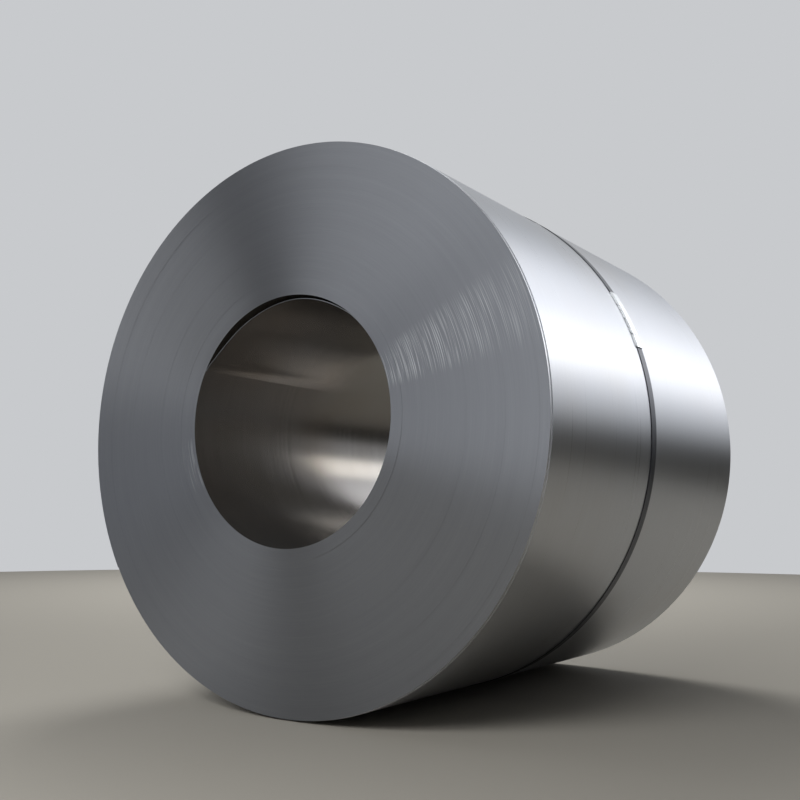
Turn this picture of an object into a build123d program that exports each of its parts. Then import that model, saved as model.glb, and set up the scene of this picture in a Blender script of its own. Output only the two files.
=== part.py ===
"""Steel coil: cold-rolled sheet wound on a round bore and held by one strap.

The coil lies on its round side. Its axis runs along Y, the end seen first is
at the low Y side, and the floor is at Z zero. Angles turn from the right hand
side, upward, as seen from the first end. All lengths are in millimetres.
"""
import os
from math import cos, degrees, radians, sin

from build123d import *

os.makedirs("parts", exist_ok=True)

# The wound sheet
bore_diameter = 610.0
outer_diameter = 1380.0
strip_width = 1250.0
sheet_thickness = 1.5

# The bore opens a little in radius toward the front, where the turns are less tight
bore_flare = 0.8

# Groups of turns on each end: how far out through the wound wall each group
# reaches, and how far it lies behind the proudest turns
front_turns = [
    (0.031, 1.5),
    (0.081, 0.6),
    (0.133, 2.2),
    (0.194, 1.2),
    (0.329, 0.5),
    (0.502, 0.0),
    (0.617, 0.9),
    (0.740, 0.4),
    (0.847, 1.4),
    (0.936, 0.7),
    (1.0, 1.8),
]
back_turns = [
    (0.055, 2.4),
    (0.146, 1.1),
    (0.295, 0.6),
    (0.489, 0.0),
    (0.648, 0.8),
    (0.803, 1.7),
    (0.923, 0.9),
    (1.0, 2.1),
]

# The innermost turn: its free end, and the step there run out round the bore
inner_end_angle = 151.8
inner_end_run = 45.0

# The stretch of that turn that has sprung off the wall at the front. It comes
# back to rest on the wall at the length given, and its shape is the share of
# the full depth at each angle
spring_end_angle = 48.0
spring_depth = 20.0
spring_length = 850.0
inner_end_lift = 1.2
spring_shape = [
    (148.5, 0.22),
    (143.5, 0.56),
    (138.0, 0.80),
    (131.0, 0.96),
    (122.0, 1.0),
    (108.0, 0.95),
    (97.0, 0.77),
    (84.0, 0.51),
    (70.0, 0.31),
    (59.0, 0.17),
]

# The free end of the outermost turn, low on the side away from the view
outer_end_angle = 212.0
outer_end_run = 120.0

# How far a step's cut runs past the surface that it starts from and ends in
step_overrun = 0.3
step_reach = 5.0

# The strap round the sheet, lapped over itself under the seals
strap_width = 32.0
strap_thickness = 1.0
strap_from_front = 588.0
strap_clearance = 0.7
lap_start_angle = 16.1
lap_end_angle = 29.0

# The short and the long seal over the lap, and the feet their crimps press out
lower_seal_angle = 15.8
lower_seal_length = 36.0
lower_seal_feet = 1
upper_seal_length = 125.0
upper_seal_feet = 3
seal_gap = 1.5
seal_thickness = 1.5
seal_clearance = 0.3
seal_foot_gap = 0.3
seal_foot_reach = 4.5
seal_foot_spacing = 5.0

# Sizes that follow from those above
bore_radius = bore_diameter / 2
front_bore_radius = bore_radius + bore_flare
outer_radius = outer_diameter / 2
front_y = -strip_width / 2
back_y = strip_width / 2
spring_front_y = front_y + front_turns[0][1]
spring_back_y = front_y + spring_length
strap_inner_radius = outer_radius + strap_clearance
strap_outer_radius = strap_inner_radius + strap_thickness
lap_outer_radius = strap_outer_radius + strap_thickness
strap_front_y = front_y + strap_from_front - strap_width / 2
axis_height = strap_outer_radius
seal_inner_radius = lap_outer_radius + seal_clearance
seal_outer_radius = seal_inner_radius + seal_thickness
seal_foot_radius = outer_radius + seal_foot_gap
seal_front_y = strap_front_y - seal_clearance - seal_thickness
seal_back_y = strap_front_y + strap_width + seal_clearance
seal_width = seal_back_y + seal_thickness - seal_front_y
upper_seal_start = lower_seal_length + seal_gap
upper_seal_angle = lower_seal_angle + degrees(upper_seal_start / lap_outer_radius)
foot_spacing_angle = degrees(seal_foot_spacing / lap_outer_radius)


def across(y):
    """Plane square to the axis at the given depth, seen from the first end."""
    return Plane(origin=(0, y, axis_height), x_dir=(1, 0, 0), z_dir=(0, -1, 0))


def at(radius, angle):
    """Point at a radius and an angle in such a plane."""
    return (radius * cos(radians(angle)), radius * sin(radians(angle)))


def sector(inner, outer, start, end):
    """Closed piece of a ring between two angles."""
    middle = (start + end) / 2
    with BuildSketch() as drawn:
        with BuildLine():
            ThreePointArc(at(outer, end), at(outer, middle), at(outer, start))
            Line(at(outer, start), at(inner, start))
            ThreePointArc(at(inner, start), at(inner, middle), at(inner, end))
            Line(at(inner, end), at(outer, end))
        make_face()
    return drawn.sketch


def end_steps(turns, inner_radius, end_y, inward):
    """Corners of one stepped end, from the bore out."""
    corners = []
    radius = inner_radius
    for reach, inset in turns:
        depth = end_y + inward * inset
        outer = bore_radius + reach * (outer_radius - bore_radius)
        corners.append((radius, depth))
        corners.append((outer, depth))
        radius = outer
    return corners


def inner_end_step(radius):
    """What the innermost turn leaves open beyond its end, run out to its radius."""
    run_end = inner_end_angle + inner_end_run
    run_middle = inner_end_angle + inner_end_run / 2
    with BuildSketch() as drawn:
        with BuildLine():
            ThreePointArc(
                at(radius + sheet_thickness, inner_end_angle),
                at(radius + sheet_thickness / 2, run_middle),
                at(radius - step_overrun, run_end),
            )
            Polyline(
                at(radius - step_overrun, run_end),
                at(radius - step_reach, run_end),
                at(radius - step_reach, inner_end_angle),
                at(radius + sheet_thickness, inner_end_angle),
            )
        make_face()
    return drawn.sketch


def spring_recess(radius):
    """What the sprung stretch leaves open, down to the turn behind it."""
    middle = (inner_end_angle + spring_end_angle) / 2
    wall_radius = radius + sheet_thickness
    with BuildSketch() as drawn:
        with BuildLine():
            ThreePointArc(
                at(wall_radius, inner_end_angle),
                at(wall_radius, middle),
                at(wall_radius, spring_end_angle),
            )
            Polyline(
                at(wall_radius, spring_end_angle),
                at(radius - step_reach, spring_end_angle),
                at(radius - step_reach, inner_end_angle),
                at(wall_radius, inner_end_angle),
            )
        make_face()
    return drawn.sketch


def sprung_line(radius):
    """Points along one side of the sprung turn, from its free end onward."""
    points = [at(radius - inner_end_lift, inner_end_angle)]
    for angle, share in spring_shape:
        points.append(at(radius - spring_depth * share, angle))
    points.append(at(radius, spring_end_angle))
    return points


def sprung_turn():
    """Section of the sprung turn at the front, one sheet thick."""
    outside = sprung_line(front_bore_radius + sheet_thickness)
    inside = sprung_line(front_bore_radius)
    with BuildSketch() as drawn:
        with BuildLine():
            Spline(*outside)
            Line(outside[-1], inside[-1])
            Spline(*reversed(inside))
            Line(inside[0], outside[0])
        make_face()
    return drawn.sketch


# The wound sheet as one turned body, its turns stepped on both ends
with BuildPart() as coil:
    front_corners = end_steps(front_turns, front_bore_radius, front_y, 1)
    back_corners = end_steps(back_turns, bore_radius, back_y, -1)
    with BuildSketch(Plane(origin=(0, 0, axis_height))):
        with BuildLine():
            Polyline(
                *front_corners,
                *reversed(back_corners),
                (bore_radius, spring_back_y),
                close=True,
            )
        make_face()
    revolve(axis=Axis((0, 0, axis_height), (0, 1, 0)))

    # The step where the innermost turn ends, along the whole bore
    with BuildSketch(across(front_y)):
        add(inner_end_step(front_bore_radius))
    with BuildSketch(across(spring_back_y)):
        add(inner_end_step(bore_radius))
    loft(ruled=True, mode=Mode.SUBTRACT)
    with BuildSketch(across(spring_back_y)):
        add(inner_end_step(bore_radius))
    extrude(amount=spring_back_y - back_y, mode=Mode.SUBTRACT)

    # The room behind the sprung stretch, then the sprung stretch itself
    with BuildSketch(across(spring_front_y)):
        add(spring_recess(front_bore_radius))
    with BuildSketch(across(spring_back_y)):
        add(spring_recess(bore_radius))
    loft(ruled=True, mode=Mode.SUBTRACT)
    with BuildSketch(across(spring_front_y)):
        add(sprung_turn())
    with BuildSketch(across(spring_back_y)):
        add(sector(bore_radius, bore_radius + sheet_thickness, spring_end_angle, inner_end_angle))
    loft(ruled=True)

    # The step where the outermost turn ends, run out round the outside
    outer_run_middle = outer_end_angle + outer_end_run / 2
    outer_run_end = outer_end_angle + outer_end_run
    with BuildSketch(across(front_y)):
        with BuildLine():
            ThreePointArc(
                at(outer_radius - sheet_thickness, outer_end_angle),
                at(outer_radius - sheet_thickness / 2, outer_run_middle),
                at(outer_radius + step_overrun, outer_run_end),
            )
            Line(
                at(outer_radius + step_overrun, outer_run_end),
                at(outer_radius + step_reach, outer_run_end),
            )
            ThreePointArc(
                at(outer_radius + step_reach, outer_run_end),
                at(outer_radius + step_reach, outer_run_middle),
                at(outer_radius + step_reach, outer_end_angle),
            )
            Line(
                at(outer_radius + step_reach, outer_end_angle),
                at(outer_radius - sheet_thickness, outer_end_angle),
            )
        make_face()
    extrude(amount=-strip_width, mode=Mode.SUBTRACT)
coil.part.label = "Wound steel sheet coil"

# The strap as one band: the ring and its lap under the seals
with BuildPart() as strap:
    with BuildSketch(across(strap_front_y)):
        Circle(strap_outer_radius)
        Circle(strap_inner_radius, mode=Mode.SUBTRACT)
    extrude(amount=-strap_width)
    with BuildSketch(across(strap_front_y)):
        add(sector(strap_outer_radius, lap_outer_radius, lap_start_angle, lap_end_angle))
    extrude(amount=-strap_width)
strap.part.label = "Circumferential steel strap"

# Each seal: a top plate, two turned-down sides, and feet spread along its sides
for name, label, start, length, feet in (
    ("seal_lower", "Short crimped strap seal", lower_seal_angle, lower_seal_length, lower_seal_feet),
    ("seal_upper", "Long crimped strap seal", upper_seal_angle, upper_seal_length, upper_seal_feet),
):
    end = start + degrees(length / lap_outer_radius)
    foot_share = (end - start) / feet
    with BuildPart() as seal:
        with BuildSketch(across(seal_front_y)):
            add(sector(seal_inner_radius, seal_outer_radius, start, end))
        extrude(amount=-seal_width)
        with BuildSketch(across(seal_front_y), across(seal_back_y)):
            add(sector(seal_foot_radius, seal_outer_radius, start, end))
        extrude(amount=-seal_thickness)
        for foot in range(feet):
            foot_start = start + foot * foot_share + foot_spacing_angle / 2
            foot_end = start + (foot + 1) * foot_share - foot_spacing_angle / 2
            with BuildSketch(across(seal_front_y - seal_foot_reach), across(seal_back_y)):
                add(
                    sector(
                        seal_foot_radius,
                        seal_foot_radius + seal_thickness,
                        foot_start,
                        foot_end,
                    )
                )
            extrude(amount=-(seal_foot_reach + seal_thickness))
    seal.part.label = label
    export_step(seal.part, f"parts/{name}.step")

export_step(coil.part, "parts/coil.step")
export_step(strap.part, "parts/strap.step")
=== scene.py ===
"""Dresses the strapped coil of cold-rolled steel sheet and sets it in a plain studio.

Every length is in metres and every place is in the frame of the CAD model:
the coil's axis runs along Y, its front end faces low Y, and the floor is at Z
zero. Angles are in degrees, from the right-hand side (+X) upward, as seen
from the front end.
"""
import logging
import math
from dataclasses import dataclass
from enum import Enum
from typing import Any, Optional

import bpy
import numpy as np
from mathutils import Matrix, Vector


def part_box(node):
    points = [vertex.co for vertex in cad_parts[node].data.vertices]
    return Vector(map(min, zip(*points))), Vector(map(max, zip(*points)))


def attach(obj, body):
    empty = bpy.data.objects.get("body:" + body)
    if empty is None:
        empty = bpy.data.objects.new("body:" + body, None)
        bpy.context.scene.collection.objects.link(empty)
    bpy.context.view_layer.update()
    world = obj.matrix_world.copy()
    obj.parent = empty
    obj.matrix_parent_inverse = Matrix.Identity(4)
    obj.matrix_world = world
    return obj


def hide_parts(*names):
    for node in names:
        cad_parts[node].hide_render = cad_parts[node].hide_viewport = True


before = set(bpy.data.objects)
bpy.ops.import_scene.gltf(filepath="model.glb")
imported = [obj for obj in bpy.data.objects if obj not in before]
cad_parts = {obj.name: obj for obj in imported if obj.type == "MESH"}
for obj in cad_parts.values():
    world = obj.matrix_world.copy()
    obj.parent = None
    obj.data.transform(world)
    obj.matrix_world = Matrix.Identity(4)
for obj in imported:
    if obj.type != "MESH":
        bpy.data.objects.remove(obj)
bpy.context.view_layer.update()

log = logging.getLogger("steel_coil")

MM = 0.001
BODY = "root"

# A point, or three sizes that go together, a linear colour, and a list of pairs
Triple = tuple[float, float, float]
Colour = tuple[float, float, float, float]
Pairs = tuple[tuple[float, float], ...]

# Most of a noise texture's values lie between these two
NOISE_LOW = 0.3
NOISE_HIGH = 0.7
# A quarter turn from round the coil: light fans out across lines and rings
ACROSS_THE_LINES = 0.25


class Role(Enum):
    """The record's material slots; a seal's slot is also its CAD node's name."""

    COIL = "coil"
    STRAP = "strap"
    SEAL_LOWER = "seal_lower"
    SEAL_UPPER = "seal_upper"


# Small tools for colour, nodes and curves


def linear(hex_colour: str) -> Colour:
    """Turns an sRGB hex colour to a linear one.

    Args:
        hex_colour: The colour as "#RRGGBB".

    Returns:
        Linear red, green and blue, with an alpha of 1.
    """
    # The numbers are those of the sRGB standard's curve
    channels = []
    for start in (1, 3, 5):
        value = int(hex_colour[start:start + 2], 16) / 255
        if value <= 0.04045:
            channels.append(value / 12.92)
        else:
            channels.append(((value + 0.055) / 1.055) ** 2.4)
    return (channels[0], channels[1], channels[2], 1.0)


def fill_sockets(tree: bpy.types.NodeTree, node: bpy.types.Node, inputs: dict[Any, Any]) -> None:
    """Sets a node's inputs as values or links.

    Args:
        tree: The node's tree.
        node: The node.
        inputs: Values or output sockets, by the input's name or number.
    """
    for key, value in inputs.items():
        if isinstance(value, bpy.types.NodeSocket):
            tree.links.new(value, node.inputs[key])
        else:
            node.inputs[key].default_value = value


def add_node(
    tree: bpy.types.NodeTree,
    kind: str,
    settings: Optional[dict[str, Any]] = None,
    inputs: Optional[dict[Any, Any]] = None,
) -> bpy.types.Node:
    """Adds one node with its settings, and its inputs as values or links.

    Args:
        tree: The node tree that the node goes in.
        kind: The node's type name.
        settings: Attributes of the node, by name.
        inputs: Values or output sockets, by the input's name or number.

    Returns:
        The new node.
    """
    node = tree.nodes.new(kind)
    for name, value in (settings or {}).items():
        setattr(node, name, value)
    fill_sockets(tree, node, inputs or {})
    return node


def calculate(tree: bpy.types.NodeTree, kind: str, operation: str, *values: Any) -> bpy.types.Node:
    """Adds a node that calculates with numbers or vectors.

    Args:
        tree: The node tree that the node goes in.
        kind: "Math" for numbers, "VectorMath" for vectors.
        operation: What the node does.
        values: The values or output sockets that it takes.

    Returns:
        The new node.
    """
    return add_node(tree, f"ShaderNode{kind}", {"operation": operation}, dict(enumerate(values)))


def mix_colours(tree: bpy.types.NodeTree, share: Any, first: Any, second: Any) -> bpy.types.NodeSocket:
    """Adds a mix of two colours.

    Args:
        tree: The node tree that the mix goes in.
        share: How much of it is the second colour.
        first: The first colour, or a socket that gives it.
        second: The second colour, or a socket that gives it.

    Returns:
        The socket that gives the mixed colour.
    """
    inputs = {0: share, 6: first, 7: second}
    return add_node(tree, "ShaderNodeMix", {"data_type": "RGBA"}, inputs).outputs[2]


def fade(
    tree: bpy.types.NodeTree,
    level: Any,
    value: bpy.types.NodeSocket,
    faint: float,
    strong: float,
    most: float = 1.0,
) -> bpy.types.NodeSocket:
    """Makes a level fade out smoothly with a value.

    Args:
        tree: The node tree that the fade goes in.
        level: The level, or a socket that gives it.
        value: The value that it fades with.
        faint: The value where nothing is left.
        strong: The value from which it no longer fades.
        most: The share of the level that is left there.

    Returns:
        The socket that gives the faded level.
    """
    fading = add_node(
        tree,
        "ShaderNodeMapRange",
        {"interpolation_type": "SMOOTHSTEP"},
        {"Value": value, "From Min": faint, "From Max": strong, "To Max": most},
    )
    return calculate(tree, "Math", "MULTIPLY", level, fading.outputs["Result"]).outputs[0]


def smooth_through(points: Pairs, places: np.ndarray) -> np.ndarray:
    """Reads a smooth curve through points with rising first values.

    Args:
        points: Pairs of place and height, by rising place.
        places: The places to read the curve at.

    Returns:
        The curve's height at each place.
    """
    knots = np.array([point[0] for point in points])
    heights = np.array([point[1] for point in points])
    slopes = np.gradient(heights, knots)
    slopes[0] = 0.0
    index = np.clip(np.searchsorted(knots, places) - 1, 0, len(knots) - 2)
    width = knots[index + 1] - knots[index]
    share = np.clip((places - knots[index]) / width, 0.0, 1.0)
    rest = 1.0 - share
    start = heights[index] * (1 + 2 * share) * rest**2 + slopes[index] * width * share * rest**2
    end = heights[index + 1] * (3 - 2 * share) * share**2 - slopes[index + 1] * width * rest * share**2
    return start + end


def start_material(
    name: str,
) -> tuple[bpy.types.Material, bpy.types.NodeTree, bpy.types.ShaderNode]:
    """Starts a material that is drawn by nodes.

    Args:
        name: The material's name.

    Returns:
        The material, its node tree and its Principled shader.
    """
    material = bpy.data.materials.new(name)
    material.use_nodes = True
    tree = material.node_tree
    return material, tree, tree.nodes["Principled BSDF"]


# Small tools for meshes


def grid_object(
    name: str,
    points: np.ndarray,
    ring: bool,
    loop: bool = False,
    caps: bool = False,
    crease: float = 30.0,
) -> bpy.types.Object:
    """Builds a smooth grid of quads and links it to the scene.

    Args:
        name: The object's name.
        points: Array of shape (rows, columns, 3).
        ring: Whether the last column joins the first.
        loop: Whether the last row joins the first.
        caps: Whether the first and last rows are closed with a face each.
        crease: Edges sharper than this angle, in degrees, stay sharp.

    Returns:
        The new object.
    """
    rows, columns = points.shape[0], points.shape[1]
    faces = []
    for row in range(rows if loop else rows - 1):
        near = row * columns
        far = ((row + 1) % rows) * columns
        for column in range(columns if ring else columns - 1):
            following = (column + 1) % columns
            faces.append((near + column, near + following, far + following, far + column))
    if caps:
        last = (rows - 1) * columns
        faces.append(tuple(range(columns - 1, -1, -1)))
        faces.append(tuple(range(last, last + columns)))
    mesh = bpy.data.meshes.new(name)
    mesh.from_pydata(points.reshape(-1, 3).tolist(), [], faces)
    mesh.validate()
    mesh.shade_smooth()
    mesh.set_sharp_from_angle(angle=math.radians(crease))
    piece = bpy.data.objects.new(name, mesh)
    bpy.context.scene.collection.objects.link(piece)
    return piece


def around(axis_height: float, radius: np.ndarray, turn: np.ndarray, depth: np.ndarray) -> np.ndarray:
    """Turns places round the coil's axis to points.

    Args:
        axis_height: Height of the axis.
        radius: Distance from the axis.
        turn: Angle in radians.
        depth: Place along the axis.

    Returns:
        Points, with a last dimension of 3.
    """
    across = radius * np.cos(turn)
    up = axis_height + radius * np.sin(turn)
    return np.stack([across, np.broadcast_to(depth, across.shape), up], axis=-1)


def join(pieces: list[bpy.types.Object]) -> bpy.types.Object:
    """Joins pieces into the first of them.

    Args:
        pieces: The pieces, of which the first is kept.

    Returns:
        The joined piece.
    """
    bpy.ops.object.select_all(action="DESELECT")
    for piece in pieces:
        piece.select_set(True)
    bpy.context.view_layer.objects.active = pieces[0]
    bpy.ops.object.join()
    return pieces[0]


def hand_over(piece: bpy.types.Object, finish: bpy.types.Material, node: str) -> None:
    """Dresses a piece and makes it stand for its CAD node.

    Args:
        piece: The finished piece.
        finish: Its material.
        node: The CAD node that it replaces.
    """
    piece.data.materials.append(finish)
    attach(piece, BODY)
    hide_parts(node)
    log.info("%s: %d faces", piece.name, len(piece.data.polygons))


# Finishes


@dataclass(frozen=True)
class ColdRolledSheet:
    """Cold-rolled low-carbon steel, bright matt finish, with a film of mill oil.

    The work rolls leave fine lines along the strip, which run round the coil,
    so the eye sees a satin grey that stretches every light into a band.
    """

    name: str = "cold_rolled_steel"
    bright: str = "#CDD0D5"
    dull: str = "#BCBFC5"
    oil_tint: str = "#B9AF9E"
    oil_amount: float = 0.2
    # Patches of oil are some 450 mm wide, and the film shows between two of
    # the pattern's values
    oil_patches_per_metre: float = 2.2
    film_start: float = 0.42
    film_full: float = 0.72
    roughness: float = 0.30
    roughness_swing: float = 0.03
    anisotropy: float = 0.46
    # Roll lines are about 0.2 mm apart: drawn 5 mm apart, so that they show
    line_pitch: float = 5 * MM
    # A line can be followed for more than a metre
    line_length: float = 1400 * MM
    relief: float = 0.012 * MM
    # Less than one where oil and dust on the metal scatter light
    metallic: float = 1.0

    def build(self) -> bpy.types.Material:
        """Makes the material.

        Returns:
            The finished material.
        """
        material, tree, shader = start_material(self.name)
        place = add_node(tree, "ShaderNodeTexCoord")
        along = add_node(
            tree,
            "ShaderNodeMapping",
            inputs={
                "Vector": place.outputs["Object"],
                "Scale": (1 / self.line_length, 1 / self.line_pitch, 1 / self.line_length),
            },
        )
        lines = add_node(
            tree,
            "ShaderNodeTexNoise",
            inputs={"Vector": along.outputs["Vector"], "Scale": 1.0, "Detail": 4.0, "Roughness": 0.65},
        )
        clouds = add_node(
            tree,
            "ShaderNodeTexNoise",
            inputs={
                "Vector": place.outputs["Object"],
                "Scale": self.oil_patches_per_metre,
                "Detail": 3.0,
                "Roughness": 0.5,
            },
        )
        steel = mix_colours(tree, lines.outputs["Fac"], linear(self.dull), linear(self.bright))
        film = add_node(
            tree,
            "ShaderNodeMapRange",
            inputs={
                "Value": clouds.outputs["Fac"],
                "From Min": self.film_start,
                "From Max": self.film_full,
                "To Max": self.oil_amount,
            },
        )
        oiled = mix_colours(tree, film.outputs["Result"], steel, linear(self.oil_tint))
        gloss = add_node(
            tree,
            "ShaderNodeMapRange",
            inputs={
                "Value": lines.outputs["Fac"],
                "From Min": NOISE_LOW,
                "From Max": NOISE_HIGH,
                "To Min": self.roughness - self.roughness_swing,
                "To Max": self.roughness + self.roughness_swing,
            },
        )
        bump = add_node(
            tree,
            "ShaderNodeBump",
            inputs={"Height": lines.outputs["Fac"], "Distance": self.relief, "Strength": 1.0},
        )
        round_axis = add_node(tree, "ShaderNodeTangent", {"direction_type": "RADIAL", "axis": "Y"})
        look = {
            "Base Color": oiled,
            "Roughness": gloss.outputs["Result"],
            "Normal": bump.outputs["Normal"],
            "Tangent": round_axis.outputs["Tangent"],
            "Metallic": self.metallic,
            "Anisotropic": self.anisotropy,
            "Anisotropic Rotation": ACROSS_THE_LINES,
        }
        fill_sockets(tree, shader, look)
        return material


@dataclass(frozen=True)
class UnevenTurns:
    """A sector of an end where the turns stand a little uneven, and where their edges carry painted
    glints.

    The sector fades out over its spread to both sides of its angle, and from
    the radius where it is full to the radius that it reaches.
    """

    angle: float
    spread: float
    full: float
    reach: float
    # Scales both the turns' unevenness and their painted glints
    strength: float


@dataclass(frozen=True)
class SlitEdges:
    """The slit edges of the wound turns: bare sheared steel, turn beside turn.

    Each edge is a thin bright line with a gap in shade beside it, so the
    eye sees a darker grey than the sheet's: the steel's own grey with the
    gaps' shade painted in, drawn in hair-fine rings, with every light fanned
    out across the rings. Where the turns stand uneven, single edges carry
    short bright streaks of painted highlight.
    """

    axis_height: float
    uneven: tuple[UnevenTurns, ...]
    name: str = "slit_steel_edges"
    # Both greys hold painted shade of the gaps between turns, besides the steel's own grey
    bright: str = "#999CA2"
    dark: str = "#8B8E94"
    # Colour of the painted glints: painted highlights on single uneven edges
    painted_glint: str = "#DFE2E6"
    roughness: float = 0.35
    roughness_swing: float = 0.01
    anisotropy: float = 0.92
    # A turn is 1.5 mm thick: rings are drawn 2.5 mm wide, so that they show
    ring_pitch: float = 2.5 * MM
    # The bands where the slitter's edge changed are some 20 mm wide
    band_pitch: float = 22 * MM
    band_share: float = 0.35
    # How fast the rings' pattern changes round the coil: a streak is then
    # some 12 degrees long
    arc_change: float = 3.0
    # An edge carries a painted glint where its own value lies above the first of these
    painted_glint_start: float = 0.50
    painted_glint_full: float = 0.70
    relief: float = 0.03 * MM

    def build(self) -> bpy.types.Material:
        """Makes the material.

        Returns:
            The finished material.
        """
        material, tree, shader = start_material(self.name)
        place = add_node(tree, "ShaderNodeTexCoord")
        middle = (0.0, 0.0, self.axis_height)
        centred = calculate(tree, "VectorMath", "SUBTRACT", place.outputs["Object"], middle)
        flat = calculate(tree, "VectorMath", "MULTIPLY", centred.outputs["Vector"], (1.0, 0.0, 1.0))
        radius = calculate(tree, "VectorMath", "LENGTH", flat.outputs["Vector"])
        heading = calculate(tree, "VectorMath", "NORMALIZE", flat.outputs["Vector"])
        ring = calculate(tree, "Math", "DIVIDE", radius.outputs["Value"], self.ring_pitch)
        drawn_out = add_node(tree, "ShaderNodeCombineXYZ", inputs={"Y": ring.outputs["Value"]})
        arc_place = calculate(
            tree,
            "VectorMath",
            "MULTIPLY_ADD",
            heading.outputs["Vector"],
            (self.arc_change, 0.0, self.arc_change),
            drawn_out.outputs["Vector"],
        )
        arcs = add_node(
            tree,
            "ShaderNodeTexNoise",
            inputs={
                "Vector": arc_place.outputs["Vector"],
                "Scale": 1.0,
                "Detail": 2.0,
                "Roughness": 0.6,
            },
        )
        bands = add_node(
            tree,
            "ShaderNodeTexNoise",
            {"noise_dimensions": "1D"},
            {
                "W": radius.outputs["Value"],
                "Scale": 1 / self.band_pitch,
                "Detail": 2.0,
                "Roughness": 0.5,
            },
        )
        tone = add_node(
            tree,
            "ShaderNodeMix",
            {"data_type": "FLOAT"},
            {0: self.band_share, 2: arcs.outputs["Fac"], 3: bands.outputs["Fac"]},
        )
        shade = mix_colours(tree, tone.outputs[0], linear(self.dark), linear(self.bright))
        streaks = add_node(
            tree,
            "ShaderNodeMapRange",
            inputs={
                "Value": arcs.outputs["Fac"],
                "From Min": self.painted_glint_start,
                "From Max": self.painted_glint_full,
            },
        )
        # Painted highlight: the glint colour is mixed into each uneven sector
        for sector in self.uneven:
            side = math.radians(sector.angle)
            aim = (math.cos(side), 0.0, math.sin(side))
            facing = calculate(tree, "VectorMath", "DOT_PRODUCT", heading.outputs["Vector"], aim)
            edge = math.cos(math.radians(sector.spread))
            painted_glint_share = streaks.outputs["Result"]
            painted_glint_share = fade(tree, painted_glint_share, facing.outputs["Value"], edge, 1.0, sector.strength)
            painted_glint_share = fade(tree, painted_glint_share, radius.outputs["Value"], sector.reach, sector.full)
            shade = mix_colours(tree, painted_glint_share, shade, linear(self.painted_glint))
        gloss = add_node(
            tree,
            "ShaderNodeMapRange",
            inputs={
                "Value": tone.outputs[0],
                "From Min": NOISE_LOW,
                "From Max": NOISE_HIGH,
                "To Min": self.roughness + self.roughness_swing,
                "To Max": self.roughness - self.roughness_swing,
            },
        )
        bump = add_node(
            tree,
            "ShaderNodeBump",
            inputs={"Height": arcs.outputs["Fac"], "Distance": self.relief, "Strength": 1.0},
        )
        round_axis = add_node(tree, "ShaderNodeTangent", {"direction_type": "RADIAL", "axis": "Y"})
        look = {
            "Base Color": shade,
            "Roughness": gloss.outputs["Result"],
            "Normal": bump.outputs["Normal"],
            "Tangent": round_axis.outputs["Tangent"],
            "Metallic": 1.0,
            "Anisotropic": self.anisotropy,
            "Anisotropic Rotation": ACROSS_THE_LINES,
        }
        fill_sockets(tree, shader, look)
        return material


@dataclass(frozen=True)
class BluedStrapping:
    """Blued and waxed steel strapping: a dark oxide skin that shines softly.

    The oxide gives a blue-black metal, rubbed to bare grey in short streaks.
    """

    name: str = "blued_steel_strap"
    oxide: str = "#363943"
    rubbed: str = "#5E626C"
    roughness: float = 0.30
    polish: float = 0.06
    scuff: float = 0.14
    # Rubs are 10 to 40 mm long and a few millimetres wide
    rub_length: float = 30 * MM
    rub_width: float = 4 * MM
    # The oxide is worn where the pattern lies between these
    worn_start: float = 0.48
    worn_full: float = 0.78
    relief: float = 0.03 * MM

    def build(self) -> bpy.types.Material:
        """Makes the material.

        Returns:
            The finished material.
        """
        material, tree, shader = start_material(self.name)
        place = add_node(tree, "ShaderNodeTexCoord")
        along = add_node(
            tree,
            "ShaderNodeMapping",
            inputs={
                "Vector": place.outputs["Object"],
                "Scale": (1 / self.rub_length, 1 / self.rub_width, 1 / self.rub_length),
            },
        )
        rubs = add_node(
            tree,
            "ShaderNodeTexNoise",
            inputs={"Vector": along.outputs["Vector"], "Scale": 1.0, "Detail": 5.0, "Roughness": 0.6},
        )
        worn = add_node(
            tree,
            "ShaderNodeMapRange",
            inputs={
                "Value": rubs.outputs["Fac"],
                "From Min": self.worn_start,
                "From Max": self.worn_full,
            },
        )
        colour = mix_colours(tree, worn.outputs["Result"], linear(self.oxide), linear(self.rubbed))
        gloss = add_node(
            tree,
            "ShaderNodeMapRange",
            inputs={
                "Value": rubs.outputs["Fac"],
                "To Min": self.roughness - self.polish,
                "To Max": self.roughness + self.scuff,
            },
        )
        bump = add_node(
            tree,
            "ShaderNodeBump",
            inputs={"Height": rubs.outputs["Fac"], "Distance": self.relief, "Strength": 1.0},
        )
        look = {
            "Base Color": colour,
            "Roughness": gloss.outputs["Result"],
            "Normal": bump.outputs["Normal"],
            "Metallic": 1.0,
        }
        fill_sockets(tree, shader, look)
        return material


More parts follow.
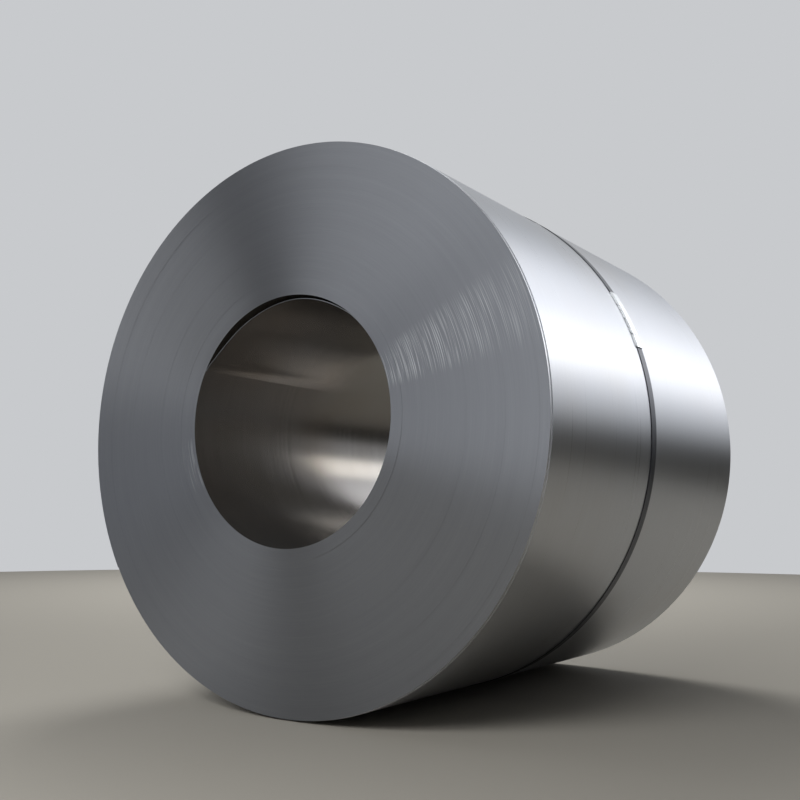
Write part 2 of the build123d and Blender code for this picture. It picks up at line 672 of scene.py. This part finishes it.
@dataclass(frozen=True)
class ZincSeal:
    """Zinc-plated stamped steel: a pale, slightly blue silver with a fine grain."""

    name: str = "zinc_plated_steel"
    zinc: str = "#F0F2F4"
    grey: str = "#D9DCDF"
    roughness: float = 0.26
    polish: float = 0.08
    scuff: float = 0.12
    # Zinc grains of about 2 mm, half hidden under smears some 17 mm wide
    grain: float = 2 * MM
    smears_per_metre: float = 60.0
    smear_share: float = 0.5

    def build(self) -> bpy.types.Material:
        """Makes the material.

        Returns:
            The finished material.
        """
        material, tree, shader = start_material(self.name)
        place = add_node(tree, "ShaderNodeTexCoord")
        grains = add_node(
            tree,
            "ShaderNodeTexVoronoi",
            inputs={"Vector": place.outputs["Object"], "Scale": 1 / self.grain},
        )
        smears = add_node(
            tree,
            "ShaderNodeTexNoise",
            inputs={
                "Vector": place.outputs["Object"],
                "Scale": self.smears_per_metre,
                "Detail": 3.0,
            },
        )
        tone = add_node(
            tree,
            "ShaderNodeMix",
            {"data_type": "FLOAT"},
            {0: self.smear_share, 2: grains.outputs["Distance"], 3: smears.outputs["Fac"]},
        )
        colour = mix_colours(tree, tone.outputs[0], linear(self.zinc), linear(self.grey))
        gloss = add_node(
            tree,
            "ShaderNodeMapRange",
            inputs={
                "Value": smears.outputs["Fac"],
                "To Min": self.roughness - self.polish,
                "To Max": self.roughness + self.scuff,
            },
        )
        look = {
            "Base Color": colour,
            "Roughness": gloss.outputs["Result"],
            "Metallic": 1.0,
        }
        fill_sockets(tree, shader, look)
        return material


# The coil


@dataclass
class WoundSheet:
    """The wound sheet: outer turn, both ends and the bore with its sprung turn.

    A group of turns is given by how far out through the wound wall it reaches
    and how far it lies behind the proudest turns.
    """

    low: Triple
    high: Triple
    axis_height: float
    bore_radius: float = 305 * MM
    bore_flare: float = 0.8 * MM
    sheet_thickness: float = 1.5 * MM
    rim_round: float = 0.3 * MM
    segments: int = 480
    # Angle between the two stations that make a step
    step_gap: float = 0.03
    # Stations along the outside, along the two parts of the bore, and along
    # and round the sprung stretch
    outside_stations: int = 14
    bore_stations: tuple[int, int] = (12, 6)
    spring_stations: tuple[int, int] = (40, 160)
    inner_end_angle: float = 151.8
    inner_end_run: float = 45.0
    spring_end_angle: float = 48.0
    spring_depth: float = 20 * MM
    spring_length: float = 850 * MM
    outer_end_angle: float = 212.0
    outer_end_run: float = 120.0
    ring_width: float = 4.5 * MM
    ring_jitter: float = 0.05 * MM
    uneven_depth: float = 0.35 * MM
    # Seeds of the rings' small differences and of the uneven sectors'
    front_seeds: tuple[int, int] = (7, 23)
    back_seeds: tuple[int, int] = (11, 29)
    # Thin gaps that keep the bore's two parts, and the sprung stretch and the
    # wall, from lying in one place
    bore_gap: float = 0.1 * MM
    spring_gap: float = 0.05 * MM
    # A face of the bore points to the front below this normal
    facing_front: float = -0.9
    spring_shape: Pairs = (
        (48.0, 0.0),
        (59.0, 0.17),
        (70.0, 0.31),
        (84.0, 0.51),
        (97.0, 0.77),
        (108.0, 0.95),
        (122.0, 1.0),
        (131.0, 0.96),
        (138.0, 0.80),
        (143.5, 0.56),
        (148.5, 0.22),
        (151.8, 0.06),
    )
    # The steps between groups are drawn a third as deep as in the CAD model,
    # because the real turns step back one by one and show no dark rings
    front_turns: Pairs = (
        (0.031, 0.5 * MM),
        (0.081, 0.2 * MM),
        (0.133, 0.7 * MM),
        (0.194, 0.4 * MM),
        (0.329, 0.2 * MM),
        (0.502, 0.0),
        (0.617, 0.3 * MM),
        (0.740, 0.1 * MM),
        (0.847, 0.4 * MM),
        (0.936, 0.2 * MM),
        (1.0, 0.5 * MM),
    )
    back_turns: Pairs = (
        (0.055, 0.8 * MM),
        (0.146, 0.4 * MM),
        (0.295, 0.2 * MM),
        (0.489, 0.0),
        (0.648, 0.3 * MM),
        (0.803, 0.6 * MM),
        (0.923, 0.3 * MM),
        (1.0, 0.7 * MM),
    )
    # The outermost turn lies this far back from the front end
    outer_turn_recess: float = 9 * MM
    # Sectors of uneven turns, whose edges also carry painted glints
    uneven: tuple[UnevenTurns, ...] = (
        UnevenTurns(angle=18.5, spread=9.5, full=0.31, reach=0.92, strength=1.0),
        UnevenTurns(angle=-162.0, spread=14.0, full=0.31, reach=0.37, strength=0.8),
    )

    @property
    def outer_radius(self) -> float:
        """Radius of the outermost turn."""
        return (self.high[0] - self.low[0]) / 2

    @property
    def spring_back(self) -> float:
        """Place along the axis where the sprung turn rests on the wall again."""
        return self.low[1] + self.spring_length

    def angles(self, steps: tuple[float, ...]) -> np.ndarray:
        """Angles round the coil, with a close pair at each step.

        Args:
            steps: The angles where the surface steps.

        Returns:
            The angles in degrees, rising from 0.
        """
        even = np.arange(self.segments) * 360.0 / self.segments
        pairs = []
        for step in steps:
            pairs.extend([step - self.step_gap, step])
        return np.unique(np.concatenate([even, np.array(pairs)]))

    def place(self, radius: np.ndarray, angle: np.ndarray, depth: np.ndarray) -> np.ndarray:
        """Points of the coil at a radius, an angle in degrees and a depth."""
        return around(self.axis_height, radius, np.radians(angle), depth)

    def outer_line(self, angle: np.ndarray) -> np.ndarray:
        """Radius of the outside, with the step where the outermost turn ends.

        Args:
            angle: Angles in degrees.

        Returns:
            The outside's radius at each angle.
        """
        past = (angle - self.outer_end_angle) % 360.0
        share = np.clip(1.0 - past / self.outer_end_run, 0.0, 1.0)
        return self.outer_radius - self.sheet_thickness * share

    def bore_base(self, depth: np.ndarray) -> np.ndarray:
        """Radius of the bore at each depth, with its slight opening to the front."""
        share = np.clip((self.spring_back - depth) / self.spring_length, 0.0, 1.0)
        return self.bore_radius + self.bore_flare * share

    def bore_line(self, angle: np.ndarray, depth: np.ndarray) -> np.ndarray:
        """Radius of the bore's wall, with the innermost turn's end and recess.

        Args:
            angle: Angles in degrees.
            depth: Places along the axis.

        Returns:
            The wall's radius at each place.
        """
        past = angle - self.inner_end_angle
        run = np.where(past >= 0.0, np.clip(1.0 - past / self.inner_end_run, 0.0, 1.0), 0.0)
        sprung = (angle >= self.spring_end_angle) & (past < 0.0) & (depth < self.spring_back)
        return self.bore_base(depth) + self.sheet_thickness * np.where(sprung, 1.0, run)

    def outer_turn(self) -> bpy.types.Object:
        """Builds the outside, the outermost turn a little back from the front.

        Returns:
            The new piece.
        """
        angle = self.angles((self.outer_end_angle,))
        radius = self.outer_line(angle)
        back = self.high[1] - self.back_turns[-1][1]
        front = self.low[1] + self.front_turns[-1][1]
        recess = self.low[1] + self.outer_turn_recess
        stations = [(back, self.rim_round)]
        for depth in np.linspace(back - self.rim_round, recess, self.outside_stations):
            stations.append((depth, 0.0))
        stations.append((recess, self.sheet_thickness))
        stations.append((front, self.sheet_thickness))
        rows = [self.place(radius - inset, angle, depth) for depth, inset in stations]
        return grid_object("outer_turn", np.stack(rows), ring=True)

    def rings(self, turns: Pairs, seed: int) -> list[Triple]:
        """Splits the groups of turns into rings, each set a hair apart.

        Args:
            turns: How far each group reaches through the wall, and its inset.
            seed: Seed of the small differences between rings.

        Returns:
            Inner radius, outer radius and inset of each ring, from the bore out.
        """
        chance = np.random.default_rng(seed)
        wall = self.outer_radius - self.bore_radius
        parted = []
        inner = self.bore_radius
        for reach, inset in turns:
            outer = self.bore_radius + reach * wall
            count = max(2, round((outer - inner) / self.ring_width))
            edges = np.linspace(inner, outer, count + 1)
            for near, far in zip(edges[:-1], edges[1:]):
                jitter = abs(chance.normal(0.0, 1.0)) * self.ring_jitter
                parted.append((near, far, inset + jitter))
            inner = outer
        return parted

    def turn_edges(self, name: str, front: bool) -> bpy.types.Object:
        """Builds one end: rings of turn edges, uneven where the turns wander.

        Args:
            name: The piece's name.
            front: Whether this is the front end.

        Returns:
            The new piece.
        """
        turns = self.front_turns if front else self.back_turns
        ring_seed, sector_seed = self.front_seeds if front else self.back_seeds
        end = self.low[1] if front else self.high[1]
        inward = 1.0 if front else -1.0
        parted = self.rings(turns, ring_seed)
        chance = np.random.default_rng(sector_seed)
        angle = self.angles((self.outer_end_angle, self.inner_end_angle, self.spring_end_angle))
        rows = []
        for number, (inner, outer, inset) in enumerate(parted):
            depth = np.full_like(angle, inset)
            for sector in self.uneven:
                away = (angle - sector.angle + 180.0) % 360.0 - 180.0
                bell = np.exp(-((away / sector.spread) ** 2))
                swing = chance.uniform(0.0, 1.0) * self.uneven_depth * sector.strength
                depth += np.where(outer < sector.reach, swing * bell, 0.0)
            outer_edge = np.full_like(angle, outer)
            inner_edge = np.full_like(angle, inner)
            if number == len(parted) - 1:
                rim = self.sheet_thickness if front else self.rim_round
                outer_edge = self.outer_line(angle) - rim
            if number == 0:
                inner_edge = self.bore_line(angle, np.full_like(angle, end))
            rows.append(self.place(inner_edge, angle, end + inward * depth))
            rows.append(self.place(outer_edge, angle, end + inward * depth))
        if front:
            rows.reverse()
        return grid_object(name, np.stack(rows), ring=True, crease=20.0)

    def bore_wall(self) -> bpy.types.Object:
        """Builds the wall of the bore behind and beyond the sprung stretch.

        Returns:
            The new piece.
        """
        angle = self.angles((self.inner_end_angle, self.spring_end_angle))
        front = self.low[1] + self.front_turns[0][1]
        back = self.high[1] - self.back_turns[0][1]
        near_count, far_count = self.bore_stations
        near = np.linspace(front, self.spring_back - self.bore_gap, near_count)
        far = np.linspace(self.spring_back, back, far_count)
        rows = []
        for depth in np.concatenate([near, far]):
            depths = np.full_like(angle, depth)
            rows.append(self.place(self.bore_line(angle, depths), angle, depths))
        return grid_object("bore_turns", np.stack(rows), ring=True)

    def sprung_stretch(self) -> bpy.types.Object:
        """Builds the stretch of the innermost turn that has sprung inward.

        Returns:
            The new piece, a closed sheet.
        """
        along_count, round_count = self.spring_stations
        angle = np.linspace(self.spring_end_angle, self.inner_end_angle, round_count)
        share = smooth_through(self.spring_shape, angle)
        front = self.low[1] + self.front_turns[0][1]
        rows = []
        for depth in np.linspace(front, self.spring_back, along_count):
            fading = (self.spring_back - depth) / (self.spring_back - front)
            base = self.bore_base(depth) - fading * self.spring_depth * share
            inside = self.place(base, angle, depth)
            outside = self.place(base + self.sheet_thickness - self.spring_gap, angle, depth)
            rows.append(np.concatenate([inside, outside[::-1]]))
        return grid_object("sprung_turn", np.stack(rows), ring=True, caps=True)

    def build(self) -> None:
        """Builds and dresses the whole coil."""
        sheet = ColdRolledSheet().build()
        edges = SlitEdges(axis_height=self.axis_height, uneven=self.uneven).build()
        # The bore's copy of the sheet is darker and browner: a heavier film of mill oil, and painted
        # shade of the bore's inside
        bore_sheet = ColdRolledSheet(
            name="cold_rolled_steel_bore",
            bright="#A19F9D",
            dull="#8D8B89",
            oil_tint="#7F6F5A",
            oil_amount=0.4,
            metallic=0.84,
            roughness=0.24,
            relief=0.004 * MM,
        ).build()
        hand_over(self.outer_turn(), sheet, "coil")
        hand_over(self.turn_edges("front_turn_edges", True), edges, "coil")
        hand_over(self.turn_edges("back_turn_edges", False), edges, "coil")
        bore = join([self.bore_wall(), self.sprung_stretch()])
        hand_over(bore, bore_sheet, "coil")
        # The sprung turn's slit edge faces the front and is dressed like the rest
        bore.data.materials.append(edges)
        for polygon in bore.data.polygons:
            if polygon.normal.y < self.facing_front:
                polygon.material_index = 1


# The strap and its seals


@dataclass
class StrapBand:
    """The strap round the coil, lapped over itself under the seals."""

    low: Triple
    high: Triple
    axis_height: float
    width: float = 32 * MM
    thickness: float = 1.0 * MM
    edge_round: float = 0.3 * MM
    lap_start_angle: float = 16.1
    lap_end_angle: float = 29.0
    # Straight stretches between stations stay inside the CAD model's box
    hair: float = 0.08 * MM
    segments: int = 480
    lap_segments: int = 24

    @property
    def inner_radius(self) -> float:
        """Radius of the band's inside, a hair inside the CAD model's."""
        return (self.high[0] - self.low[0]) / 2 - self.thickness - self.hair

    def section(self) -> np.ndarray:
        """Outline of the band's section: axial place and height, edges rounded.

        Returns:
            Points of shape (count, 2), once round.
        """
        half = self.width / 2
        cut = self.edge_round
        top = self.thickness
        return np.array(
            [
                (-half, cut),
                (-half, top - cut),
                (-half + cut, top),
                (0.0, top),
                (half - cut, top),
                (half, top - cut),
                (half, cut),
                (half - cut, 0.0),
                (-half + cut, 0.0),
            ]
        )

    def arc(self, name: str, radius: float, angle: np.ndarray, whole: bool) -> bpy.types.Object:
        """Builds a stretch of band on a circle.

        Args:
            name: The piece's name.
            radius: Radius of the band's inside.
            angle: Angles of its stations, in degrees.
            whole: Whether the band closes on itself.

        Returns:
            The new piece.
        """
        section = self.section()
        turn = np.radians(angle)[:, None]
        reach = radius + section[None, :, 1]
        middle = (self.low[1] + self.high[1]) / 2
        points = around(self.axis_height, reach, turn, middle + section[:, 0])
        return grid_object(name, points, ring=True, loop=whole, caps=not whole)

    def build(self) -> None:
        """Builds and dresses the strap."""
        even = np.arange(self.segments) * 360.0 / self.segments
        lapped = np.linspace(self.lap_start_angle, self.lap_end_angle, self.lap_segments)
        band = self.arc("strap_band", self.inner_radius, even, whole=True)
        lap = self.arc("strap_lap", self.inner_radius + self.thickness, lapped, whole=False)
        hand_over(join([band, lap]), BluedStrapping().build(), "strap")


@dataclass
class CrimpedSeal:
    """One seal: a plate bent over both edges of the lap, its feet spread out."""

    name: str
    node: str
    role: Role
    axis_height: float
    start_angle: float
    length: float
    feet: int
    strap_width: float
    foot_radius: float
    top_radius: float
    thickness: float = 1.5 * MM
    clearance: float = 0.3 * MM
    foot_reach: float = 4.5 * MM
    foot_spacing: float = 5 * MM
    # A foot runs out over this length, and thins to this share at its edge
    foot_run_out: float = 1.2 * MM
    foot_edge_share: float = 0.8
    # The top's rounded shoulders, and its dip between two feet
    shoulder: float = 0.5 * MM
    dip: float = 0.3 * MM
    station_gap: float = 0.8 * MM

    def flare(self, run: float) -> float:
        """How far the feet stand out sideways at a place along the seal.

        Args:
            run: Distance from the seal's start.

        Returns:
            The feet's reach there, from 0 between two feet.
        """
        pitch = self.length / self.feet
        past = run % pitch
        inside = min(past, pitch - past) - self.foot_spacing / 2
        return self.foot_reach * min(1.0, max(0.0, 1.0 + inside / self.foot_run_out))

    def outline(self, flare: float) -> np.ndarray:
        """Section of the seal at one place along it.

        Args:
            flare: How far its feet stand out sideways there.

        Returns:
            Axial place and radius of each point, once round.
        """
        inside = self.strap_width / 2 + self.clearance
        outside = inside + self.thickness
        shoulder = self.shoulder
        top = self.top_radius - self.dip * (1.0 - flare / self.foot_reach)
        roof = self.top_radius - self.thickness
        foot = self.foot_radius
        foot_edge = foot + self.thickness * self.foot_edge_share
        bend = foot + self.thickness / 2
        return np.array(
            [
                (-outside - flare, foot_edge),
                (-outside, foot + self.thickness),
                (-outside, top - shoulder),
                (-outside + shoulder, top),
                (0.0, top),
                (outside - shoulder, top),
                (outside, top - shoulder),
                (outside, foot + self.thickness),
                (outside + flare, foot_edge),
                (outside + flare, foot),
                (inside, foot),
                (inside, bend),
                (inside, roof),
                (-inside, roof),
                (-inside, bend),
                (-inside, foot),
                (-outside - flare, foot),
            ]
        )

    def build(self, finish: bpy.types.Material) -> None:
        """Builds and dresses the seal.

        Args:
            finish: The seal's material.
        """
        low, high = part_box(self.node)
        middle = (low[1] + high[1]) / 2
        rows = []
        for run in np.linspace(0.0, self.length, round(self.length / self.station_gap)):
            section = self.outline(self.flare(float(run)))
            turn = math.radians(self.start_angle) + run / self.top_radius
            rows.append(around(self.axis_height, section[:, 1], turn, middle + section[:, 0]))
        seal = grid_object(self.name, np.stack(rows), ring=True, caps=True, crease=35.0)
        hand_over(seal, finish, self.node)


# The studio


@dataclass(frozen=True)
class SoftBox:
    """One soft lamp, aimed at a point."""

    name: str
    place: Triple
    aim: Triple
    width: float
    height: float
    power: float
    colour: str = "#FFFFFF"

    def build(self) -> None:
        """Adds the lamp."""
        lamp = bpy.data.lights.new(self.name, "AREA")
        lamp.shape = "RECTANGLE"
        lamp.size = self.width
        lamp.size_y = self.height
        lamp.energy = self.power
        lamp.color = linear(self.colour)[:3]
        holder = bpy.data.objects.new(self.name, lamp)
        bpy.context.scene.collection.objects.link(holder)
        holder.location = self.place
        away = [self.place[axis] - self.aim[axis] for axis in range(3)]
        flat = math.hypot(away[0], away[1])
        holder.rotation_euler = (math.atan2(flat, away[2]), 0.0, math.atan2(away[0], -away[1]))
        holder.visible_camera = False
        holder.visible_glossy = False


@dataclass(frozen=True)
class Panel:
    """A soft patch of light or shade in the surroundings.

    Azimuth counts in degrees from straight behind the coil (+Y) towards +X,
    elevation from the horizon up.
    """

    azimuth: float
    half_width: float
    low: float
    high: float
    side_blend: float
    edge_blend: float
    colour: str
    strength: float = 1.0


@dataclass
class Studio:
    """Pale floor, plain surroundings, soft lamps and the camera."""

    axis_height: float
    front: float
    camera_place: Triple = (1.5184, -1.8154, -0.2435)
    camera_pitch: float = 99.923
    camera_heading: float = 37.176
    camera_lens: float = 44.2
    camera_shift: tuple[float, float] = (0.0851, -0.0620)
    floor_centre: tuple[float, float] = (-0.2, 0.0)
    floor_radius: float = 7.0
    floor_colour: str = "#ADA9A0"
    floor_roughness: float = 0.7
    floor_shine: float = 0.2
    floor_segments: int = 96
    backdrop: str = "#C8CACD"
    fill: float = 0.25
    panels: tuple[Panel, ...] = (
        # A dim room in front of the coil and to its right, under a pale ceiling
        Panel(180.0, 85.0, -90.0, 55.0, 10.0, 15.0, "#525357"),
        Panel(75.0, 22.0, -90.0, 45.0, 12.0, 12.0, "#5E5F62"),
        Panel(0.0, 180.0, 58.0, 90.0, 1.0, 16.0, "#FFFFFF", 0.5),
        # Soft boxes in front, which draw the sheen on the turns' edges
        Panel(179.0, 8.5, -5.0, 23.5, 9.5, 8.0, "#FFFFFF", 2.7),
        Panel(207.0, 10.5, 20.0, 30.0, 8.5, 5.5, "#FFFFFF", 2.15),
        Panel(233.0, 4.0, 14.0, 19.0, 6.0, 5.0, "#FFFFFF", 0.9),
        Panel(260.0, 8.0, 13.0, 29.0, 10.0, 7.0, "#FFFFFF", 2.6),
        Panel(262.0, 4.0, 29.0, 34.0, 7.0, 6.0, "#FFFFFF", 3.4),
        # The large soft box behind on the right, which lights the sheet
        Panel(16.0, 6.0, 14.5, 36.8, 10.4, 11.0, "#FAFBFF", 2.05),
        # The small soft box whose light the bore's wall shows
        Panel(31.0, 2.5, 17.5, 23.0, 5.0, 5.0, "#FFFCF5", 4.6),
        # A dark strip up to the horizon, behind on the right
        Panel(35.0, 32.0, -90.0, 0.5, 8.0, 6.0, "#393835"),
    )
    # These two light the floor, so that the coil throws its shadow there
    lamps: tuple[SoftBox, ...] = (
        SoftBox("back", (-2.5, 3.5, 5.0), (-2.0, 2.5, 0.0), 3.0, 3.0, 260.0),
        SoftBox("front", (0.5, -3.5, 2.0), (0.4, -2.8, 0.0), 1.5, 1.5, 90.0),
    )

    def camera(self) -> None:
        """Adds the camera at the photograph's place."""
        lens = bpy.data.cameras.new("camera")
        lens.lens = self.camera_lens
        lens.shift_x, lens.shift_y = self.camera_shift
        holder = bpy.data.objects.new("camera", lens)
        bpy.context.scene.collection.objects.link(holder)
        across, back, up = self.camera_place
        holder.location = (across, self.front + back, self.axis_height + up)
        holder.rotation_euler = (math.radians(self.camera_pitch), 0.0, math.radians(self.camera_heading))
        bpy.context.scene.camera = holder

    def floor(self) -> None:
        """Adds the pale floor."""
        turn = np.linspace(0.0, 2 * math.pi, self.floor_segments, endpoint=False)
        rows = []
        for radius in (0.0, self.floor_radius):
            across = self.floor_centre[0] + radius * np.cos(turn)
            back = self.floor_centre[1] + radius * np.sin(turn)
            rows.append(np.stack([across, back, np.zeros_like(turn)], axis=-1))
        ground = grid_object("floor", np.stack(rows), ring=True)
        material, tree, shader = start_material("pale_floor")
        look = {
            "Base Color": linear(self.floor_colour),
            "Roughness": self.floor_roughness,
            "Specular IOR Level": self.floor_shine,
        }
        fill_sockets(tree, shader, look)
        ground.data.materials.append(material)

    def surroundings(self) -> None:
        """Adds a plain pale world with soft panels round the coil."""
        world = bpy.data.worlds.new("studio")
        bpy.context.scene.world = world
        world.use_nodes = True
        tree = world.node_tree
        place = add_node(tree, "ShaderNodeTexCoord")
        parts = add_node(tree, "ShaderNodeSeparateXYZ", inputs={"Vector": place.outputs["Generated"]})
        azimuth = calculate(tree, "Math", "ARCTAN2", parts.outputs["X"], parts.outputs["Y"])
        elevation = calculate(tree, "Math", "ARCSINE", parts.outputs["Z"])
        shade = linear(self.backdrop)
        for panel in self.panels:
            middle = math.radians(panel.azimuth)
            turned = calculate(tree, "Math", "SUBTRACT", azimuth.outputs[0], middle)
            wrapped = calculate(tree, "Math", "WRAP", turned.outputs[0], -math.pi, math.pi)
            away = calculate(tree, "Math", "ABSOLUTE", wrapped.outputs[0])
            cover = 1.0
            for source, near, far in (
                (away, panel.half_width, panel.half_width + panel.side_blend),
                (elevation, panel.high, panel.high + panel.edge_blend),
                (elevation, panel.low, panel.low - panel.edge_blend),
            ):
                cover = fade(tree, cover, source.outputs[0], math.radians(far), math.radians(near))
            colour = [channel * panel.strength for channel in linear(panel.colour)[:3]]
            shade = mix_colours(tree, cover, shade, (*colour, 1.0))
        path = add_node(tree, "ShaderNodeLightPath")
        seen = path.outputs["Is Camera Ray"]
        for kind in ("Is Glossy Ray", "Is Transmission Ray"):
            seen = calculate(tree, "Math", "MAXIMUM", seen, path.outputs[kind]).outputs[0]
        level = add_node(
            tree,
            "ShaderNodeMapRange",
            inputs={"Value": seen, "To Min": self.fill, "To Max": 1.0},
        )
        # The camera sees the plain backdrop, and the panels show in the metal
        plain = mix_colours(tree, path.outputs["Is Camera Ray"], shade, linear(self.backdrop))
        light = {"Color": plain, "Strength": level.outputs["Result"]}
        fill_sockets(tree, tree.nodes["Background"], light)

    def build(self) -> None:
        """Builds the camera, the floor, the surroundings and the lamps."""
        self.camera()
        self.floor()
        self.surroundings()
        for lamp in self.lamps:
            lamp.build()
        bpy.context.scene.view_settings.view_transform = "Standard"


def main() -> None:
    """Builds the studio, the coil, the strap and the seals in order."""
    logging.basicConfig(level=logging.INFO, format="%(name)s %(message)s")
    strap_low, strap_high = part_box("strap")
    coil_low, coil_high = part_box("coil")
    axis_height = (strap_low[2] + strap_high[2]) / 2
    Studio(axis_height=axis_height, front=coil_low[1]).build()
    coil = WoundSheet(low=tuple(coil_low), high=tuple(coil_high), axis_height=axis_height)
    coil.build()
    band = StrapBand(low=tuple(strap_low), high=tuple(strap_high), axis_height=axis_height)
    band.build()
    finish = ZincSeal().build()
    lap_radius = band.inner_radius + 2 * band.thickness
    foot_gap = 0.3 * MM
    top_height = 1.8 * MM
    seal_fit = {
        "axis_height": axis_height,
        "strap_width": band.width,
        "foot_radius": coil.outer_radius + foot_gap,
        "top_radius": lap_radius + top_height,
    }
    lower_length = 36 * MM
    upper_length = 125 * MM
    lower_start = 15.8
    gap = 1.5 * MM
    upper_start = lower_start + math.degrees((lower_length + gap) / lap_radius)
    for name, role, start, length, feet in (
        ("lower_seal", Role.SEAL_LOWER, lower_start, lower_length, 1),
        ("upper_seal", Role.SEAL_UPPER, upper_start, upper_length, 3),
    ):
        CrimpedSeal(
            name=name,
            node=role.value,
            role=role,
            start_angle=start,
            length=length,
            feet=feet,
            **seal_fit,
        ).build(finish)


if __name__ == "__main__":
    main()
